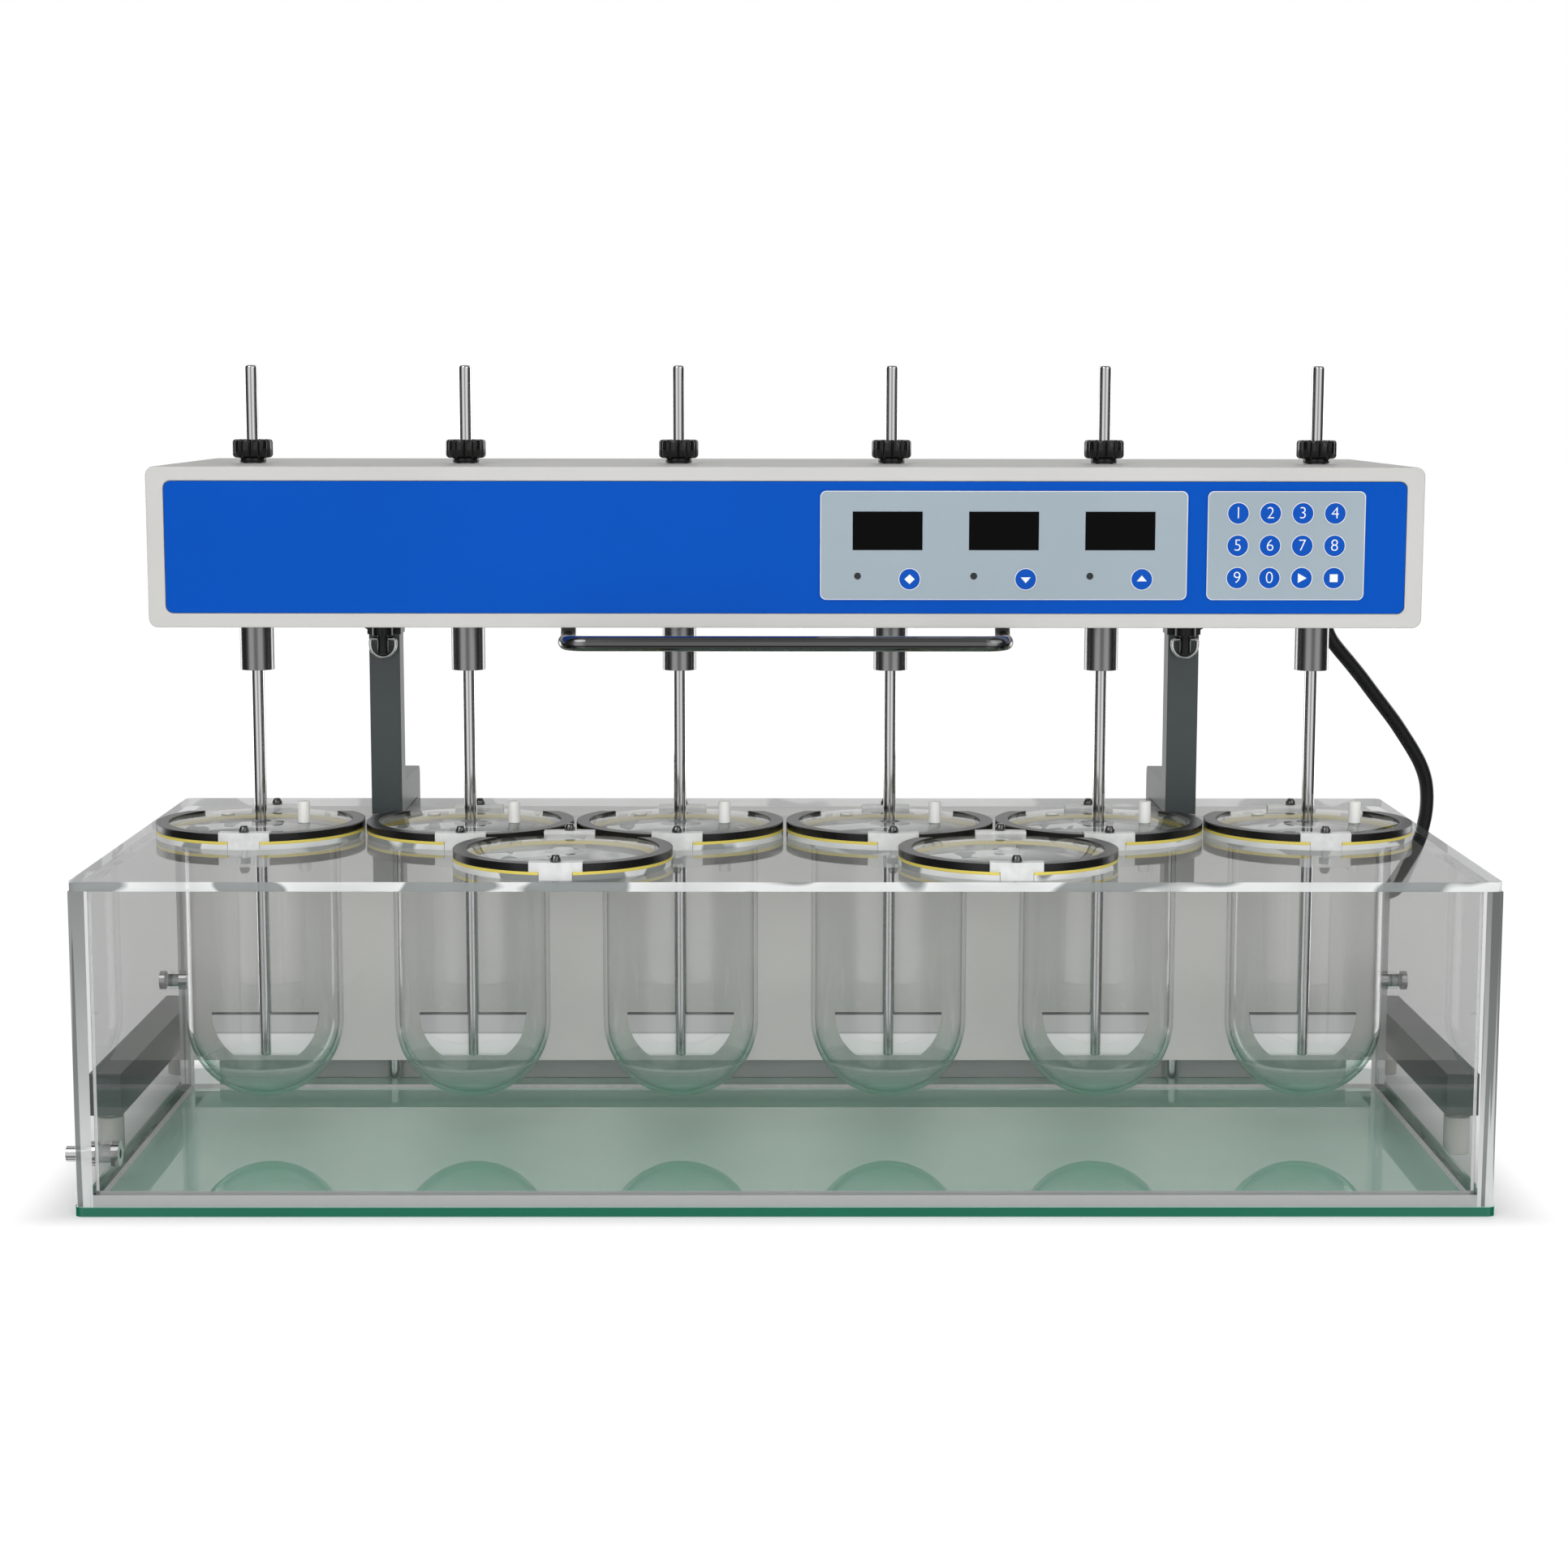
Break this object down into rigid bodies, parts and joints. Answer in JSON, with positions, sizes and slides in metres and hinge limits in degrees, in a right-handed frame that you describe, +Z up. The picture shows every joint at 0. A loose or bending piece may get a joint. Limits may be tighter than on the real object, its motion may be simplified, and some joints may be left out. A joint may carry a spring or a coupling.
{
  "type": "dissolution tester",
  "caption": "Bench dissolution tester: a clear water bath with round-bottomed glass vessels under lids, and a blue-fronted drive head on columns that turns paddle shafts.",
  "frame": {"origin": "on the bench, under the middle of the machine's box without the head lead", "axes": "+X to the right, +Y from the control panel towards the back, +Z up"},
  "size_m": [0.9605, 0.41, 0.537],
  "materials": {
    "base_glass": "polished green glass",
    "tank_acrylic": "polished clear acrylic",
    "plate_acrylic": "polished clear acrylic",
    "lid_acrylic": "polished clear acrylic",
    "vessel_glass": "clear borosilicate glass",
    "housing_paint": "satin light grey paint",
    "heater_case": "satin",
    "frame_paint": "satin slate grey paint",
    "foot_nylon": "matte white nylon",
    "fitting_chrome": "polished",
    "gasket_silicone": "matte yellowish silicone",
    "rim_rubber": "satin black rubber",
    "screw_steel": "dark steel",
    "lock_plastic": "black",
    "cable_rubber": "matte black jacket",
    "inlet_plastic": "matte black",
    "head_paint": "satin warm pale grey paint",
    "panel_blue": "satin blue",
    "overlay_film": "printed grey film",
    "display_black": "dark window",
    "handle_steel": "polished",
    "post_steel": "ground",
    "motor_case": "black",
    "belt_rubber": "black",
    "pulley_metal": "turned",
    "spindle_steel": "turned and brushed",
    "shaft_steel": "mirror polished",
    "knob_plastic": "glossy black"
  },
  "bodies": {
    "stand": {"base_glass": "base_glass", "water_tank": "tank_acrylic", "cover_plate": "plate_acrylic", "rear_housing": "housing_paint", "rear_cover": "housing_paint", "bath_heater": "heater_case", "base_frame": "frame_paint", "support_columns": "frame_paint", "levelling_feet": "foot_nylon", "tank_fittings": "fitting_chrome", "seat_rings": "plate_acrylic", "gaskets": "gasket_silicone", "rim_rings": "rim_rubber", "rim_clamps": "plate_acrylic", "clamp_screws": "screw_steel", "vessels": "vessel_glass", "lock_collars": "lock_plastic", "head_cable": "cable_rubber", "power_inlet": "inlet_plastic"},
    "head": {"head_shell": "head_paint", "front_panel": "panel_blue", "control_overlay": "overlay_film", "display_windows": "display_black", "lift_handle": "handle_steel", "inner_posts": "post_steel", "spindle_bearings": "post_steel", "drive_motor": "motor_case", "drive_belt": "belt_rubber"},
    "motor_pulley": {"motor_pulley": "pulley_metal"},
    "power_switch": {"power_switch": "inlet_plastic"},
    "plunger_left": {"plunger_left": "lock_plastic"},
    "pull_ring_left": {"pull_ring_left": "fitting_chrome"},
    "plunger_right": {"plunger_right": "lock_plastic"},
    "pull_ring_right": {"pull_ring_right": "fitting_chrome"},
    "spindle_1": {"spindle_1": "spindle_steel"},
    "shaft_1": {"shaft_1": "shaft_steel"},
    "knob_1": {"knob_1": "knob_plastic"},
    "spindle_2": {"spindle_2": "spindle_steel"},
    "shaft_2": {"shaft_2": "shaft_steel"},
    "knob_2": {"knob_2": "knob_plastic"},
    "spindle_3": {"spindle_3": "spindle_steel"},
    "shaft_3": {"shaft_3": "shaft_steel"},
    "knob_3": {"knob_3": "knob_plastic"},
    "spindle_4": {"spindle_4": "spindle_steel"},
    "shaft_4": {"shaft_4": "shaft_steel"},
    "knob_4": {"knob_4": "knob_plastic"},
    "spindle_5": {"spindle_5": "spindle_steel"},
    "shaft_5": {"shaft_5": "shaft_steel"},
    "knob_5": {"knob_5": "knob_plastic"},
    "spindle_6": {"spindle_6": "spindle_steel"},
    "shaft_6": {"shaft_6": "shaft_steel"},
    "knob_6": {"knob_6": "knob_plastic"},
    "lid_1": {"lid_1": "lid_acrylic"},
    "lid_2": {"lid_2": "lid_acrylic"},
    "lid_3": {"lid_3": "lid_acrylic"},
    "lid_4": {"lid_4": "lid_acrylic"},
    "lid_5": {"lid_5": "lid_acrylic"},
    "lid_6": {"lid_6": "lid_acrylic"},
    "lid_7": {"lid_7": "lid_acrylic"},
    "lid_8": {"lid_8": "lid_acrylic"}
  },
  "joints": [
    {"name": "head_lift", "type": "slide", "parent": "stand", "child": "head", "axis": [0, 0, 1], "range_m": [0, 0.08], "deforming": ["head_cable"]},
    {"name": "spindle_1_turn", "type": "hinge", "parent": "head", "child": "spindle_1", "pos_m": [-0.3625, -0.003, 0.366], "axis": [0, 0, 1], "continuous": true},
    {"name": "spindle_2_turn", "type": "hinge", "parent": "head", "child": "spindle_2", "pos_m": [-0.2175, -0.003, 0.366], "axis": [0, 0, 1], "continuous": true},
    {"name": "spindle_3_turn", "type": "hinge", "parent": "head", "child": "spindle_3", "pos_m": [-0.0725, -0.003, 0.366], "axis": [0, 0, 1], "continuous": true},
    {"name": "spindle_4_turn", "type": "hinge", "parent": "head", "child": "spindle_4", "pos_m": [0.0725, -0.003, 0.366], "axis": [0, 0, 1], "continuous": true},
    {"name": "spindle_5_turn", "type": "hinge", "parent": "head", "child": "spindle_5", "pos_m": [0.2175, -0.003, 0.366], "axis": [0, 0, 1], "continuous": true},
    {"name": "spindle_6_turn", "type": "hinge", "parent": "head", "child": "spindle_6", "pos_m": [0.3625, -0.003, 0.366], "axis": [0, 0, 1], "continuous": true},
    {"name": "motor_turn", "type": "hinge", "parent": "head", "child": "motor_pulley", "pos_m": [0, -0.003, 0.366], "axis": [0, 0, 1], "continuous": true},
    {"name": "shaft_1_raise", "type": "slide", "parent": "spindle_1", "child": "shaft_1", "axis": [0, 0, 1], "range_m": [0, 0.045]},
    {"name": "knob_1_loosen", "type": "hinge", "parent": "spindle_1", "child": "knob_1", "pos_m": [-0.3625, -0.003, 0.471], "axis": [0, 0, 1], "range_deg": [0, 180]},
    {"name": "shaft_2_raise", "type": "slide", "parent": "spindle_2", "child": "shaft_2", "axis": [0, 0, 1], "range_m": [0, 0.045]},
    {"name": "knob_2_loosen", "type": "hinge", "parent": "spindle_2", "child": "knob_2", "pos_m": [-0.2175, -0.003, 0.471], "axis": [0, 0, 1], "range_deg": [0, 180]},
    {"name": "shaft_3_raise", "type": "slide", "parent": "spindle_3", "child": "shaft_3", "axis": [0, 0, 1], "range_m": [0, 0.045]},
    {"name": "knob_3_loosen", "type": "hinge", "parent": "spindle_3", "child": "knob_3", "pos_m": [-0.0725, -0.003, 0.471], "axis": [0, 0, 1], "range_deg": [0, 180]},
    {"name": "shaft_4_raise", "type": "slide", "parent": "spindle_4", "child": "shaft_4", "axis": [0, 0, 1], "range_m": [0, 0.045]},
    {"name": "knob_4_loosen", "type": "hinge", "parent": "spindle_4", "child": "knob_4", "pos_m": [0.0725, -0.003, 0.471], "axis": [0, 0, 1], "range_deg": [0, 180]},
    {"name": "shaft_5_raise", "type": "slide", "parent": "spindle_5", "child": "shaft_5", "axis": [0, 0, 1], "range_m": [0, 0.045]},
    {"name": "knob_5_loosen", "type": "hinge", "parent": "spindle_5", "child": "knob_5", "pos_m": [0.2175, -0.003, 0.471], "axis": [0, 0, 1], "range_deg": [0, 180]},
    {"name": "shaft_6_raise", "type": "slide", "parent": "spindle_6", "child": "shaft_6", "axis": [0, 0, 1], "range_m": [0, 0.045]},
    {"name": "knob_6_loosen", "type": "hinge", "parent": "spindle_6", "child": "knob_6", "pos_m": [0.3625, -0.003, 0.471], "axis": [0, 0, 1], "range_deg": [0, 180]},
    {"name": "lid_1_lift", "type": "slide", "parent": "stand", "child": "lid_1", "axis": [0, 0, 1], "range_m": [0, 0.1]},
    {"name": "lid_2_lift", "type": "slide", "parent": "stand", "child": "lid_2", "axis": [0, 0, 1], "range_m": [0, 0.1]},
    {"name": "lid_3_lift", "type": "slide", "parent": "stand", "child": "lid_3", "axis": [0, 0, 1], "range_m": [0, 0.1]},
    {"name": "lid_4_lift", "type": "slide", "parent": "stand", "child": "lid_4", "axis": [0, 0, 1], "range_m": [0, 0.1]},
    {"name": "lid_5_lift", "type": "slide", "parent": "stand", "child": "lid_5", "axis": [0, 0, 1], "range_m": [0, 0.1]},
    {"name": "lid_6_lift", "type": "slide", "parent": "stand", "child": "lid_6", "axis": [0, 0, 1], "range_m": [0, 0.1]},
    {"name": "lid_7_lift", "type": "slide", "parent": "stand", "child": "lid_7", "axis": [0, 0, 1], "range_m": [0, 0.1]},
    {"name": "lid_8_lift", "type": "slide", "parent": "stand", "child": "lid_8", "axis": [0, 0, 1], "range_m": [0, 0.1]},
    {"name": "plunger_left_pull", "type": "slide", "parent": "stand", "child": "plunger_left", "axis": [0, 0, -1], "range_m": [0, 0.008], "stiffness_N_per_m": 400, "springref_m": -0.004},
    {"name": "pull_ring_left_swing", "type": "hinge", "parent": "plunger_left", "child": "pull_ring_left", "pos_m": [-0.288, 0.087, 0.34325], "axis": [-1, 0, 0], "range_deg": [0, 85]},
    {"name": "plunger_right_pull", "type": "slide", "parent": "stand", "child": "plunger_right", "axis": [0, 0, -1], "range_m": [0, 0.008], "stiffness_N_per_m": 400, "springref_m": -0.004},
    {"name": "pull_ring_right_swing", "type": "hinge", "parent": "plunger_right", "child": "pull_ring_right", "pos_m": [0.288, 0.087, 0.34325], "axis": [-1, 0, 0], "range_deg": [0, 85]},
    {"name": "power_switch_tilt", "type": "hinge", "parent": "stand", "child": "power_switch", "pos_m": [0.201, 0.178, 0.11], "axis": [1, 0, 0], "range_deg": [0, 16]}
  ],
  "couplings": [
    {"joint": "spindle_2_turn", "follows": "spindle_1_turn", "ratio": 1},
    {"joint": "spindle_3_turn", "follows": "spindle_1_turn", "ratio": 1},
    {"joint": "spindle_4_turn", "follows": "spindle_1_turn", "ratio": 1},
    {"joint": "spindle_5_turn", "follows": "spindle_1_turn", "ratio": 1},
    {"joint": "spindle_6_turn", "follows": "spindle_1_turn", "ratio": 1},
    {"joint": "motor_turn", "follows": "spindle_1_turn", "ratio": 1}
  ]
}
